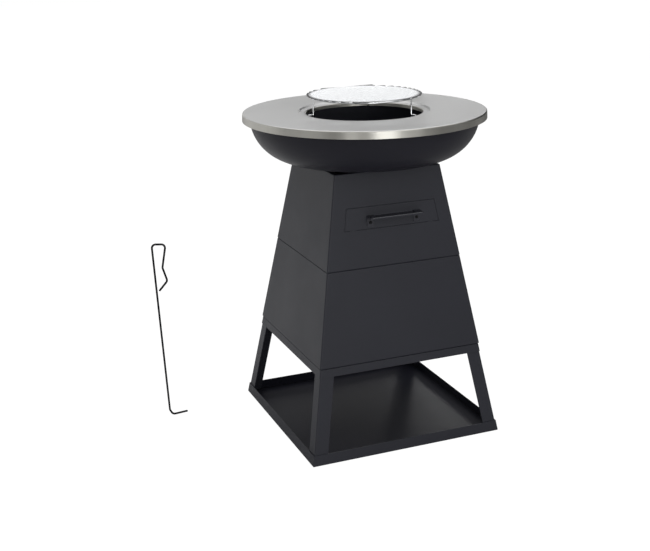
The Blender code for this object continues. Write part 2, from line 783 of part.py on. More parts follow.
def bowl_profile():
    """The bowl's outer side, from the rim down to the middle of the dish."""
    knuckle, dish, flare = BOWL_KNUCKLE_RADIUS, BOWL_DISH_RADIUS, BOWL_WALL_FLARE
    x0 = BOWL_RIM_RADIUS - knuckle * math.cos(flare)
    z0 = BOWL_DEPTH + knuckle * math.sin(flare)
    b = (dish - z0) * math.cos(flare) - x0 * math.sin(flare)
    c = x0**2 + (dish - z0) ** 2 - (dish - knuckle) ** 2
    wall = math.sqrt(b * b - c) - b
    centre = (x0 - wall * math.sin(flare), z0 - wall * math.cos(flare))
    low = math.atan2(centre[0], dish - centre[1])
    points = [(BOWL_RIM_RADIUS, BOWL_DEPTH)]
    points += arc(centre, knuckle, -flare, low - math.pi / 2, 7)
    steps = 4
    radii = [dish * math.sin(low * i / steps) for i in range(steps - 1, -1, -1)]
    points += [(r, dish_drop(r)) for r in radii]
    return [(r, z + BOWL_BOTTOM) for r, z in points]


def fire_bowl():
    bowl = turned("fire_bowl", bowl_profile(), BOWL_PAINT, BOWL_SHEET)
    angles = [2 * math.pi * number / ASH_HOLE_COUNT for number in range(ASH_HOLE_COUNT)]
    holes = [(0, 0)] + [polar(ASH_HOLE_CIRCLE_RADIUS, angle) for angle in angles]
    low, high = BOWL_BOTTOM - CUT_REACH, BOWL_BOTTOM + CUT_REACH
    for number, (x, y) in enumerate(holes):
        boolean(bowl, rod(f"ash_hole_{number + 1}", (x, y, low), (x, y, high), ASH_HOLE_RADIUS, 10))
    bolt_holes(bowl, "bowl_hole", BOWL_BOLT_RADIUS, UPPER_TOP, 2 * CUT_REACH)


def bowl_bolts():
    """The bolts that hold the bowl on the body's top flange, heads inside the bowl."""
    head_edge = BOWL_BOLT_RADIUS + hexagon_radius(BOLT_HEAD_FLATS)
    seat = BOWL_BOTTOM + dish_drop(head_edge) + BOWL_SHEET + GAP
    joint_bolts("bowl", BOWL_BOLT_RADIUS, seat, seat - UPPER_TOP + BODY_SHEET, False)


def charcoal_grate():
    """A round plate with rows of slots, lying on the dish by its edge."""
    inner_dish = BOWL_DISH_RADIUS - BOWL_SHEET
    under = BOWL_BOTTOM + BOWL_SHEET + dish_drop(COAL_GRATE_RADIUS, inner_dish) + GAP
    outlines = [[polar(COAL_GRATE_RADIUS, 2 * math.pi * i / 40) for i in range(40)]]
    usable = COAL_GRATE_RADIUS - COAL_SLOT_MARGIN
    half_slot = COAL_SLOT_WIDTH / 2
    rows = int((usable - half_slot) / COAL_SLOT_PITCH + 0.5)
    for row in range(-rows, rows):
        y = (row + 0.5) * COAL_SLOT_PITCH
        end = math.sqrt(usable**2 - y**2) - half_slot
        if end > half_slot:
            quarter = math.pi / 2
            right = arc((end, y), half_slot, -quarter, quarter, 4)
            left = arc((-end, y), half_slot, quarter, 3 * quarter, 4)
            outlines.append(right + left)
    grate = flat_plate("charcoal_grate", outlines, COAL_GRATE_SHEET, under + COAL_GRATE_SHEET, IRON)
    carrier("charcoal_grate_lift", (0, 0, under), [grate])


# Griddle plate


def griddle_plate():
    top, ledge = PLATE_TOP, LEDGE_TOP
    quarter = math.pi / 2
    hole_centre = (HOLE_RADIUS + HOLE_CORNER, ledge - HOLE_CORNER)
    skirt_radius = PLATE_RADIUS - SKIRT_FLARE
    rim_centre = (skirt_radius - PLATE_CORNER, top - PLATE_CORNER)
    profile = [(HOLE_RADIUS, ledge - HOLE_FLANGE_DEPTH)]
    profile += arc(hole_centre, HOLE_CORNER, 2 * quarter, quarter, 2)
    profile += [(LEDGE_RADIUS - LEDGE_DEPTH / 2, ledge), (LEDGE_RADIUS + LEDGE_DEPTH / 2, top)]
    profile += arc(rim_centre, PLATE_CORNER, quarter, 0, 3)
    profile += [(PLATE_RADIUS, top - SKIRT_DEPTH)]
    plate = turned("griddle_plate", profile, STEEL, PLATE_SHEET)
    carrier("griddle_plate_lift", (0, 0, top), [plate, *plate_lugs()])


def plate_lugs():
    """Short tabs under the plate that keep it centred inside the bowl's rim."""
    lean = LUG_DEPTH * math.tan(BOWL_WALL_FLARE)
    wall = BOWL_RIM_RADIUS - BOWL_SHEET / math.cos(BOWL_WALL_FLARE) - lean
    radius = wall - LUG_PLAY - LUG_SHEET / 2
    middle = PLATE_TOP - PLATE_SHEET - GAP - LUG_DEPTH / 2
    shape = Matrix.Translation((radius, 0, middle)) @ Matrix.Diagonal((LUG_SHEET, LUG_WIDTH, LUG_DEPTH, 1))
    bm = bmesh.new()
    bmesh.ops.create_cube(bm, size=1, matrix=shape)
    mesh = mesh_from(bm, "plate_lug")
    lugs = []
    for number in range(LUG_COUNT):
        lug = place(mesh, f"plate_lug_{number + 1}", STEEL)
        lug.rotation_euler.z = 2 * math.pi * number / LUG_COUNT
        lugs.append(lug)
    return lugs


# Cooking grate


def grate_runs():
    """The one wire's path: parallel runs along X, joined at their ends by half-round bends whose
    outsides lie on the grate's circle."""
    z = GRATE_TOP - GRATE_WIRE / 2
    reach = GRATE_RADIUS - GRATE_WIRE / 2
    bend = GRATE_PITCH / 2
    count = 2 * int((reach - GRATE_PITCH) / GRATE_PITCH) + 1
    first = -(count - 1) * bend
    path = [(-GRATE_FREE_END, first, z)]
    for index in range(count - 1):
        y = first + (index + 0.5) * GRATE_PITCH
        x = math.sqrt(reach**2 - y**2) - bend
        side = 1 if index % 2 == 0 else -1
        for bx, by in arc((0, 0), bend, -math.pi / 2, math.pi / 2, 4):
            path.append((side * (x + bx), y + by, z))
    end_side = 1 if count % 2 else -1
    path.append((end_side * GRATE_FREE_END, -first, z))
    return path


def cooking_grate():
    """The bent wire over its ring and cross wires, and the three legs that stand on the ledge."""
    wire_z = GRATE_TOP - GRATE_WIRE
    frame_radius = GRATE_FRAME_WIRE / 2
    leg_radius = GRATE_LEG_WIRE / 2
    ring_z = wire_z - GAP - frame_radius
    ring_radius = GRATE_LEG_RADIUS - leg_radius - GAP - frame_radius
    ring = [(*polar(ring_radius, 2 * math.pi * i / 48), ring_z) for i in range(48)]
    pieces = [wire("grate_wire", grate_runs(), GRATE_WIRE / 2, CHROME)]
    pieces.append(wire("grate_ring", ring, frame_radius, CHROME, cyclic=True))
    x = GRATE_CROSS_SPACING / 2
    y = math.sqrt((ring_radius - frame_radius - GAP) ** 2 - (x + frame_radius) ** 2)
    for name, across in (("grate_cross_left", -x), ("grate_cross_right", x)):
        pieces.append(rod(name, (across, -y, ring_z), (across, y, ring_z), frame_radius, coat=CHROME))
    foot_z = LEDGE_TOP + GAP + leg_radius
    for number in range(GRATE_LEG_COUNT):
        angle = GRATE_LEG_TURN + 2 * math.pi * number / GRATE_LEG_COUNT
        x, y = polar(GRATE_LEG_RADIUS, angle)
        low, high = (x, y, LEDGE_TOP - GRATE_LEG_BELOW_LEDGE), (x, y, wire_z - GAP)
        leg = rod(f"grate_leg_{number + 1}", low, high, leg_radius, coat=CHROME)
        toe = (*polar(GRATE_LEG_RADIUS + GRATE_FOOT_REACH, angle), foot_z)
        boolean(leg, rod(f"grate_foot_{number + 1}", (x, y, foot_z), toe, leg_radius, coat=CHROME), "UNION")
        pieces.append(leg)
    carrier("cooking_grate_lift", (0, 0, LEDGE_TOP), pieces)


# Poker


def poker():
    """A bent wire: a foot hook, a straight shaft, and a hand loop whose free end closes back to it."""
    along = Vector((math.cos(POKER_TURN), math.sin(POKER_TURN), 0))
    hook = [POKER_HOOK_TIP, POKER_HOOK_HEEL, POKER_SHAFT_FOOT, POKER_SHAFT_TOP]
    loop = [POKER_LOOP_TOP, POKER_LOOP_WAIST, POKER_LOOP_ELBOW, POKER_LOOP_END]
    path = rounded(hook + loop, POKER_BEND, 4)
    drop = min(p.y for p in path) - POKER_WIRE / 2
    origin = Vector((*POKER_FOOT, -drop))
    points = [origin + along * p.x + Vector((0, 0, p.y)) for p in path]
    made = wire("poker", points, POKER_WIRE / 2, BLACK_PAINT)
    carrier("poker_lift", (*POKER_FOOT, 0), [made])


def build():
    base_tray()
    stand_legs()
    stand_frame()
    lower_body()
    upper_body()
    body_bolts()
    ash_drawer()
    fire_bowl()
    bowl_bolts()
    charcoal_grate()
    griddle_plate()
    cooking_grate()
    poker()


build()
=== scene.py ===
"""The looks of the charcoal grill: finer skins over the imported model's pieces, their finishes, a plain pale
studio and the camera at the photograph's angle."""

import math

import bmesh
import bpy
from mathutils import Matrix, Vector

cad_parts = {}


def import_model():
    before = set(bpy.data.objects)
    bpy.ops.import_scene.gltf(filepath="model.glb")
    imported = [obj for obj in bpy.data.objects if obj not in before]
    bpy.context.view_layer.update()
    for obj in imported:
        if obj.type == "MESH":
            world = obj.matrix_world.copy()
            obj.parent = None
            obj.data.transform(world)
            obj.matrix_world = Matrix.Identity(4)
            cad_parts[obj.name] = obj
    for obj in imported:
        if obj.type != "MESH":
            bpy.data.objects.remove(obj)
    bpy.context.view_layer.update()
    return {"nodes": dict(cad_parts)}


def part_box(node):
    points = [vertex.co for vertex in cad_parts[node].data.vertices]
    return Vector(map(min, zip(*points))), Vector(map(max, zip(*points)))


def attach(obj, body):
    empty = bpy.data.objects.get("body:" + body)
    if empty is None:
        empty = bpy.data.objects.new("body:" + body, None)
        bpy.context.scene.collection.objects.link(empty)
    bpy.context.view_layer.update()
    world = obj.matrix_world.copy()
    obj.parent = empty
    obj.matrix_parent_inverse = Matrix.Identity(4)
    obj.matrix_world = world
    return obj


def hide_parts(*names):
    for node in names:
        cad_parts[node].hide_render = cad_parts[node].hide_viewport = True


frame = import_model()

NODES = frame["nodes"]

# Lengths are in metres. The shapes repeat the solids', with finer folds and edges and a deeper ledge.

# The gap between pieces that rest on each other
GAP = 0.0003

# Pedestal: half its width across the legs on the floor, its lean, and a face's length per unit of height
BASE_HALF = 0.2927
LEAN = 0.1713
SLOPE = math.hypot(1.0, LEAN)
TRAY_SHEET = 0.0015
TRAY_FOLD = 0.0022
LEG_SHEET = 0.0025
LEG_WIDTH = 0.041
LEG_FOLD = 0.004
FRAME_SHEET = 0.0015
FRAME_FLANGE = 0.027
BODY_SHEET = 0.0012
BODY_FLANGE = 0.024
SEAT_FLANGE = 0.015

# How far each piece's outer face stands out from the legs' outer faces
FRAME_PROUD = GAP + FRAME_SHEET * SLOPE
TRAY_PROUD = 0.0008 + TRAY_SHEET * SLOPE
LOWER_PROUD = FRAME_PROUD + 0.0022
UPPER_PROUD = LOWER_PROUD + 0.0007

# Fold radii down the corners and along the level edges, and the dark gap at a seam
FOLD = 0.0045
EDGE_FOLD = 0.0026
SEAM_SHADOW = 0.001

# Ash drawer: heights of the front's edges, its distance from the body's corners, and the gap round it
DRAWER_LOW = 0.6375
DRAWER_HIGH = 0.698
DRAWER_MARGIN = 0.0437
DRAWER_GAP = 0.0009
DRAWER_EDGE = 0.0004

# Handle: a flat bar on two arms, with a lip along its front and a foot at each end
HANDLE_OFFSET = 0.0045
HANDLE_LENGTH = 0.162
HANDLE_REACH = 0.035
HANDLE_GRIP = 0.013
HANDLE_ARM = 0.020
HANDLE_SHEET = 0.002
HANDLE_LIP = 0.0055
HANDLE_FOOT = 0.032
HANDLE_OUTER_CORNER = 0.009
HANDLE_INNER_CORNER = 0.004
HANDLE_FOLD = 0.0032

# Screws of the handle
SCREW_DROP = 0.0205
SCREW_HEAD_RADIUS = 0.0045
SCREW_HEAD_HEIGHT = 0.0025
SCREW_RADIUS = 0.0025
SCREW_LENGTH = 0.0085
RECESS = (0.0045, 0.0009, 0.0022)
RECESS_HEIGHT = 0.0024
RECESS_TURN = 20

# Fire bowl: its outer profile and the ash holes in its dish
BOWL_SHEET = 0.002
BOWL_RIM = 0.3346
BOWL_DEPTH = 0.1472
BOWL_DISH = 1.711
BOWL_KNUCKLE = 0.1264
BOWL_FLARE = math.radians(13.45)
ASH_CIRCLE = 0.050
ASH_HOLE = 0.008
ASH_REACH = 0.01

# Griddle plate: its rim and skirt, and the step down to the ledge round its hole
PLATE_SHEET = 0.002
PLATE_RADIUS = 0.35
PLATE_CORNER = 0.0038
SKIRT_FLARE = 0.0008
SKIRT_HEIGHT = 0.0212
HOLE_RADIUS = 0.168
HOLE_CORNER = 0.004
HOLE_FLANGE = 0.0115
LEDGE_DEPTH = 0.0045
STEP_RADIUS = 0.1844
STEP_FOLDS = (0.0015, 0.0025)
STEP_SLOPE = math.radians(50)

# Cooking grate: the bent wire, the ring and cross wires under it, and its legs
WIRE = 0.003
WIRE_PITCH = 0.0108
WIRE_REACH = 0.165
WIRE_END = 0.094
ROD_RADIUS = 0.002
LEG_CIRCLE = 0.158
FOOT_CIRCLE = 0.174
CROSS_OFFSET = 0.075
LEG_DROP = 0.0185
FIRST_LEG = math.radians(62)

# Poker: its bends from the hook on the floor, over the top, to the loose end, as (along, up)
POKER_RADIUS = 0.0031
POKER_BEND = 0.011
POKER_PLACE = (-0.5629, 0.213)
POKER_TURN = math.radians(-12.9)
POKER_BENDS = (
    (0.043, 0.0107),
    (-0.003, POKER_RADIUS),
    (-0.0115, 0.0190),
    (-0.0325, 0.5535),
    (0.0085, 0.5515),
    (-0.0050, 0.4800),
    (0.0070, 0.4380),
    (-0.0187, 0.4078),
)

# A wire's end: the length of its rounding and the radius at its tip, as shares of the wire's radius
END_LENGTH = 0.4
END_RADIUS = 0.72

QUARTER = math.pi / 2


def half_width(z, proud=0.0):
    """Half the pedestal's width at a height, at a face that stands out by proud."""
    return BASE_HALF + proud - LEAN * z


def low_z(node):
    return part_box(node)[0][2]


def high_z(node):
    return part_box(node)[1][2]


# Mesh helpers


def link(mesh, name):
    obj = bpy.data.objects.new(name, mesh)
    bpy.context.scene.collection.objects.link(obj)
    return obj


def mesh_from(bm, name):
    mesh = bpy.data.meshes.new(name)
    bm.to_mesh(mesh)
    bm.free()
    return mesh


def fold_weights(bm):
    return bm.edges.layers.float.new("bevel_weight_edge")


def baked(obj, angle=math.radians(30)):
    """The object's evaluated shape as a plain mesh, smooth but for its sharp edges."""
    bpy.context.view_layer.update()
    graph = bpy.context.evaluated_depsgraph_get()
    mesh = bpy.data.meshes.new_from_object(obj.evaluated_get(graph))
    bm = bmesh.new()
    bm.from_mesh(mesh)
    bmesh.ops.remove_doubles(bm, verts=bm.verts, dist=0.00002)
    bm.to_mesh(mesh)
    bm.free()
    name, matrix = obj.name, obj.matrix_world.copy()
    bpy.data.objects.remove(obj, do_unlink=True)
    mesh.name = name
    made = link(mesh, name)
    made.matrix_world = matrix
    mesh.shade_smooth()
    mesh.set_sharp_from_angle(angle=angle)
    normals = made.modifiers.new("normals", "WEIGHTED_NORMAL")
    normals.keep_sharp = True
    return made


def boolean(obj, tool, operation):
    modifier = obj.modifiers.new(tool.name, "BOOLEAN")
    modifier.operation = operation
    modifier.object = tool
    modifier.solver = "EXACT"


def cut(obj, tools, operation="DIFFERENCE"):
    """Cuts or joins with tool objects, then removes them."""
    for tool in tools:
        boolean(obj, tool, operation)
    made = baked(obj)
    for tool in tools:
        bpy.data.objects.remove(tool, do_unlink=True)
    return made


def solidify(obj, sheet):
    modifier = obj.modifiers.new("sheet", "SOLIDIFY")
    modifier.thickness = sheet
    modifier.offset = -1.0
    modifier.use_even_offset = True
    modifier.use_quality_normals = True


def bevel(obj, radius, segments=5, by_weight=True):
    modifier = obj.modifiers.new("folds", "BEVEL")
    modifier.width = radius
    modifier.segments = segments
    modifier.limit_method = "WEIGHT" if by_weight else "ANGLE"


def square_loft(name, rings, weights, closed_start=False):
    """An open surface through square rings of (half width, z), with fold weights for each ring and
    then for the corner edges between the rings."""
    bm = bmesh.new()
    weight = fold_weights(bm)
    loops = []
    for half, z in rings:
        corners = ((-half, -half), (half, -half), (half, half), (-half, half))
        loops.append([bm.verts.new((x, y, z)) for x, y in corners])
    if closed_start:
        bm.faces.new(reversed(loops[0]))
    for low, high in zip(loops, loops[1:]):
        for i in range(4):
            bm.faces.new((low[i], low[i - 3], high[i - 3], high[i]))
    for loop, ring_weight in zip(loops, weights):
        for i in range(4):
            edge = bm.edges.get((loop[i], loop[i - 3]))
            if not edge.is_boundary:
                edge[weight] = ring_weight
    for index, (low, high) in enumerate(zip(loops, loops[1:])):
        for a, b in zip(low, high):
            if rings[index][1] != rings[index + 1][1]:
                bm.edges.get((a, b))[weight] = weights[-1]
    return link(mesh_from(bm, name), name)


def rod(name, start, end, radius, sides):
    """A straight round bar with flat ends."""
    start, end = Vector(start), Vector(end)
    axis = end - start
    turn = axis.to_track_quat("Z", "Y").to_matrix().to_4x4()
    bm = bmesh.new()
    bmesh.ops.create_cone(
        bm, cap_ends=True, segments=sides, radius1=radius, radius2=radius, depth=axis.length,
        matrix=Matrix.Translation((start + end) / 2) @ turn,
    )
    return link(mesh_from(bm, name), name)


def prism(name, outline, y_front, y_rear):
    """A solid from an outline of (x, z), between two distances from the front."""
    bm = bmesh.new()
    face = bm.faces.new([bm.verts.new((x, y_front, z)) for x, z in outline])
    run = bmesh.ops.extrude_face_region(bm, geom=[face])
    moved = [item for item in run["geom"] if isinstance(item, bmesh.types.BMVert)]
    bmesh.ops.translate(bm, verts=moved, vec=(0, y_rear - y_front, 0))
    bmesh.ops.recalc_face_normals(bm, faces=bm.faces)
    return link(mesh_from(bm, name), name)


def turned(name, profile, sheet=None, steps=192):
    """A round shape from a profile of (radius, z), which runs down its outer side."""
    bm = bmesh.new()
    verts = [bm.verts.new((r, 0, z)) for r, z in profile]
    for a, b in zip(verts, verts[1:]):
        bm.edges.new((a, b))
    obj = link(mesh_from(bm, name), name)
    screw = obj.modifiers.new("turn", "SCREW")
    screw.steps = steps
    screw.render_steps = steps
    screw.use_merge_vertices = True
    screw.merge_threshold = 0.00005
    if sheet:
        solidify(obj, sheet)
    return obj


def wire(name, points, radius, cyclic=False, resolution=4):
    """A round wire through these points. An open one has softly rounded ends."""
    curve = bpy.data.curves.new(name, "CURVE")
    curve.dimensions = "3D"
    curve.bevel_depth = radius
    curve.bevel_resolution = resolution
    curve.use_fill_caps = True
    points = [Vector(point) for point in points]
    if not cyclic:
        first = points[0].lerp(points[1], END_LENGTH * radius / (points[1] - points[0]).length)
        last = points[-1].lerp(points[-2], END_LENGTH * radius / (points[-2] - points[-1]).length)
        points = [points[0], first, *points[1:-1], last, points[-1]]
    spline = curve.splines.new("POLY")
    spline.points.add(len(points) - 1)
    for target, point in zip(spline.points, points):
        target.co = (*point, 1.0)
    spline.use_cyclic_u = cyclic
    if not cyclic:
        spline.points[0].radius = END_RADIUS
        spline.points[-1].radius = END_RADIUS
    return baked(link(curve, name), math.radians(50))


def arc(centre, radius, start, end, segments):
    steps = (start + (end - start) * i / segments for i in range(segments + 1))
    return [(centre[0] + radius * math.cos(a), centre[1] + radius * math.sin(a)) for a in steps]


def polar(radius, angle):
    return radius * math.cos(angle), radius * math.sin(angle)


def rounded(points, radius, segments):
    """The open path through these points with its inner corners rounded."""
    path = [Vector(points[0])]
    for before, corner, after in zip(points, points[1:], points[2:]):
        corner = Vector(corner)
        back = (Vector(before) - corner).normalized()
        forth = (Vector(after) - corner).normalized()
        half_turn = back.angle(forth) / 2
        reach = radius / math.tan(half_turn)
        centre = corner + (back + forth).normalized() * (radius / math.sin(half_turn))
        first = (corner + back * reach - centre).normalized()
        last = (corner + forth * reach - centre).normalized()
        path += [centre + first.slerp(last, i / segments) * radius for i in range(segments + 1)]
    path.append(Vector(points[-1]))
    return path


# Node helpers


def ranged(tree, value, low, high, start, end, smooth=False):
    """A value between low and high, as another value goes from start to end."""
    made = tree.nodes.new("ShaderNodeMapRange")
    if smooth:
        made.interpolation_type = "SMOOTHSTEP"
    for key, number in (("From Min", start), ("From Max", end), ("To Min", low), ("To Max", high)):
        made.inputs[key].default_value = number
    tree.links.new(value, made.inputs["Value"])
    return made.outputs["Result"]


def ramp(tree, value, low, high, start, end):
    """A smooth step from low at start to high at end."""
    return ranged(tree, value, low, high, start, end, smooth=True)


def choose(tree, fac, off, on):
    """One value where fac is 0 and another where it is 1."""
    made = tree.nodes.new("ShaderNodeMix")
    for socket, value in (("A", off), ("B", on)):
        if isinstance(value, float):
            made.inputs[socket].default_value = value
        else:
            tree.links.new(value, made.inputs[socket])
    tree.links.new(fac, made.inputs["Factor"])
    return made.outputs["Result"]


def along(tree, vector, direction):
    """How far a vector goes along a direction."""
    made = tree.nodes.new("ShaderNodeVectorMath")
    made.operation = "DOT_PRODUCT"
    made.inputs[1].default_value = direction
    tree.links.new(vector, made.inputs[0])
    return made.outputs["Value"]


def length(tree, vector):
    made = tree.nodes.new("ShaderNodeVectorMath")
    made.operation = "LENGTH"
    tree.links.new(vector, made.inputs[0])
    return made.outputs["Value"]


def sectors(tree, place, stops):
    """A tone that changes with the bearing from the origin, from stops of (degrees from +X, tone)."""
    bearing = tree.nodes.new("ShaderNodeTexGradient")
    bearing.gradient_type = "RADIAL"
    tree.links.new(place, bearing.inputs["Vector"])
    made = tree.nodes.new("ShaderNodeValToRGB")
    made.color_ramp.interpolation = "EASE"
    elements = made.color_ramp.elements
    for index, (degrees, tone) in enumerate(stops):
        element = elements[index] if index < 2 else elements.new(1.0)
        element.position = (degrees + 180) / 360
        element.color = (tone, tone, tone, 1)
    tree.links.new(bearing.outputs["Fac"], made.inputs["Fac"])
    return made.outputs["Color"]


# Materials


class Finish:
    """A Principled material with procedural colour, roughness and relief."""

    def __init__(self, name, colour, roughness, metallic=0.0, **constants):
        self.material = bpy.data.materials.new(name)
        self.material.use_nodes = True
        self.tree = self.material.node_tree
        self.shader = self.tree.nodes["Principled BSDF"]
        self.shader.inputs["Base Color"].default_value = (*colour, 1)
        self.shader.inputs["Roughness"].default_value = roughness
        self.shader.inputs["Metallic"].default_value = metallic
        for key, value in constants.items():
            self.shader.inputs[key.replace("_", " ")].default_value = value
        coordinates = self.tree.nodes.new("ShaderNodeTexCoord")
        self.place = coordinates.outputs["Object"]
        self.facing = coordinates.outputs["Normal"]
        self.normal = None

    def node(self, kind, **values):
        made = self.tree.nodes.new(kind)
        for key, value in values.items():
            made.inputs[key].default_value = value
        return made

    def link(self, source, target):
        self.tree.links.new(source, target)

    def stretched(self, scale):
        mapping = self.node("ShaderNodeMapping", Scale=scale)
        self.link(self.place, mapping.inputs["Vector"])
        return mapping.outputs["Vector"]

    def noise(self, scale, detail=2.0, rough=0.5, stretch=(1, 1, 1)):
        made = self.node("ShaderNodeTexNoise", Scale=scale, Detail=detail, Roughness=rough)
        self.link(self.stretched(stretch), made.inputs["Vector"])
        return made.outputs["Fac"]

    def colours(self, value, dark, light, start=0.3, end=0.7):
        made = self.tree.nodes.new("ShaderNodeValToRGB")
        made.color_ramp.elements[0].position = start
        made.color_ramp.elements[1].position = end
        made.color_ramp.elements[0].color = (*dark, 1)
        made.color_ramp.elements[1].color = (*light, 1)
        self.link(value, made.inputs["Fac"])
        self.link(made.outputs["Color"], self.shader.inputs["Base Color"])

    def overlay(self, mask, colour):
        """Lays a second colour over the first where the mask is 1."""
        mix = self.tree.nodes.new("ShaderNodeMix")
        mix.data_type = "RGBA"
        first, second = (socket for socket in mix.inputs if socket.type == "RGBA")
        result = next(socket for socket in mix.outputs if socket.type == "RGBA")
        base = self.shader.inputs["Base Color"]
        self.link(base.links[0].from_socket, first)
        second.default_value = (*colour, 1)
        self.link(mask, mix.inputs["Factor"])
        self.link(result, base)

    def rough(self, value, low, high):
        self.link(ranged(self.tree, value, low, high, 0.3, 0.7), self.shader.inputs["Roughness"])

    def relief(self, value, strength, distance):
        made = self.node("ShaderNodeBump", Strength=strength, Distance=distance)
        self.link(value, made.inputs["Height"])
        if self.normal:
            self.link(self.normal, made.inputs["Normal"])
        self.normal = made.outputs["Normal"]
        self.link(self.normal, self.shader.inputs["Normal"])

    def blur_across(self, axis):
        """Spreads the shine across a brushing that runs along an axis, or round the axis Z."""
        tangent = self.tree.nodes.new("ShaderNodeTangent")
        tangent.direction_type = "RADIAL"
        tangent.axis = axis
        if axis == "Z":
            self.shader.inputs["Anisotropic Rotation"].default_value = 0.25
        self.link(tangent.outputs["Tangent"], self.shader.inputs["Tangent"])


def scaled(colour, factor):
    return tuple(channel * factor for channel in colour)


def powder_coat(name, colour, low, high, specular, grain=0.25):
    """Baked-on black paint: a fine pebbled skin, with broad faint changes of tone and gloss."""
    finish = Finish(name, colour, low, Specular_IOR_Level=specular)
    finish.colours(finish.noise(5.0, 3.0), scaled(colour, 0.95), scaled(colour, 1.05))
    finish.rough(finish.noise(9.0, 3.0), low, high)
    finish.relief(finish.noise(900.0, 2.0), grain, 0.0003)
    return finish


def grip_paint(name, colour):
    """The handle's powder coat, with a painted highlight: paler where the surface faces up and to the front,
    along the upper front fold.
    """
    finish = powder_coat(name, colour, 0.2, 0.26, 0.5, 0.1)
    towards_fold = along(finish.tree, finish.facing, (0, -0.7071, 0.7071))
    # Painted highlight: a paler colour on the faces turned up and forward, where the fold catches the light.
    painted_highlight = ranged(finish.tree, towards_fold, 0.0, 1.0, 0.86, 0.96)
    finish.overlay(painted_highlight, (0.085, 0.086, 0.094))
    return finish


def brushed_steel():
    """Stainless sheet, brushed one way, with long faint scratches."""
    finish = Finish("brushed_stainless", (0.52, 0.52, 0.518), 0.34, 1.0, Anisotropic=0.8)
    grain = finish.noise(420.0, 4.0, 0.6, (0.02, 1, 1))
    finish.colours(grain, (0.49, 0.49, 0.488), (0.55, 0.55, 0.548))
    finish.rough(grain, 0.3, 0.38)
    finish.relief(grain, 0.1, 0.0001)
    finish.blur_across("X")
    return finish


def rim_steel():
    """The plate's turned-down skirt: polished along its run, with short upright streaks."""
    # Painted reflection: the skirt's steel is warmer than the top's, for the warm surroundings that it
    # reflects.
    finish = Finish("skirt_stainless", (0.52, 0.51, 0.47), 0.36, 1.0, Anisotropic=0.85)
    streaks = finish.noise(20.0, 3.0, 0.6, (1, 1, 0.05))
    finish.colours(streaks, (0.49, 0.48, 0.44), (0.55, 0.54, 0.5))
    finish.rough(streaks, 0.32, 0.4)
    finish.relief(finish.noise(420.0, 3.0, 0.5, (0.1, 0.1, 1)), 0.1, 0.0001)
    finish.blur_across("Z")
    return finish


def chrome_plate(name):
    """Bright plating with faint drawing marks."""
    finish = Finish(name, (0.78, 0.79, 0.8), 0.06, 1.0)
    drawn = finish.noise(120.0, 2.0)
    finish.colours(drawn, (0.74, 0.75, 0.76), (0.82, 0.83, 0.84))
    finish.rough(drawn, 0.04, 0.1)
    finish.relief(drawn, 0.05, 0.0004)
    return finish


def chrome_with_painted_dark_ends(name):
    """The bent wire's plating, with painted dark reflections on its bends and free ends, beyond the ring."""
    finish = chrome_plate(name)
    out = length(finish.tree, finish.stretched((1, 1, 0)))
    # Painted reflection: darker chrome beyond 0.15 to 0.16 m from the middle, for the dark surroundings that
    # the bends reflect.
    finish.overlay(ranged(finish.tree, out, 0.0, 1.0, 0.15, 0.16), (0.15, 0.15, 0.155))
    return finish


def zinc_plate():
    """Zinc-plated steel with a fine spangle."""
    finish = Finish("zinc_plate", (0.5, 0.5, 0.51), 0.35, 1.0)
    spangle = finish.node("ShaderNodeTexVoronoi", Scale=260.0)
    finish.link(finish.place, spangle.inputs["Vector"])
    finish.colours(spangle.outputs["Distance"], (0.4, 0.4, 0.41), (0.56, 0.56, 0.57), 0.1, 0.7)
    finish.rough(finish.noise(90.0, 3.0), 0.28, 0.45)
    finish.relief(finish.noise(700.0, 2.0), 0.1, 0.0002)
    return finish


def slide_zinc():
    """The runners' zinc, made dark as painted shade, for the shade inside the body where they sit."""
    # Painted shade: this zinc is about a fifth as bright as the fasteners' zinc.
    finish = Finish("zinc_painted_shade", (0.09, 0.09, 0.095), 0.6, 0.6)
    finish.colours(finish.noise(60.0, 4.0), (0.07, 0.07, 0.074), (0.11, 0.11, 0.116))
    finish.rough(finish.noise(90.0, 3.0), 0.55, 0.68)
    finish.relief(finish.noise(700.0, 2.0), 0.1, 0.0002)
    return finish


def heat_iron():
    """Iron plate with the scale and brown tint of many fires."""
    finish = Finish("heat_darkened_iron", (0.035, 0.033, 0.031), 0.65, 0.7)
    scale = finish.noise(40.0, 6.0, 0.65)
    finish.colours(scale, (0.022, 0.021, 0.02), (0.065, 0.056, 0.05))
    finish.rough(scale, 0.5, 0.8)
    finish.relief(finish.noise(300.0, 6.0, 0.7), 0.4, 0.0005)
    return finish


PANEL_BLACK = (0.0185, 0.0193, 0.0262)
PANEL = powder_coat("panel_powder_coat", PANEL_BLACK, 0.46, 0.5, 0.3)
# Painted shade: a darker copy of the panels' paint for the tray's inside, for the shade under the body.
TRAY_FLOOR_SHADE = powder_coat("tray_floor_painted_shade", (0.0105, 0.0108, 0.0165), 0.32, 0.36, 0.26, 0.12)
BOWL = powder_coat("bowl_satin_paint", (0.0148, 0.0146, 0.0198), 0.38, 0.42, 0.12, 0.12)
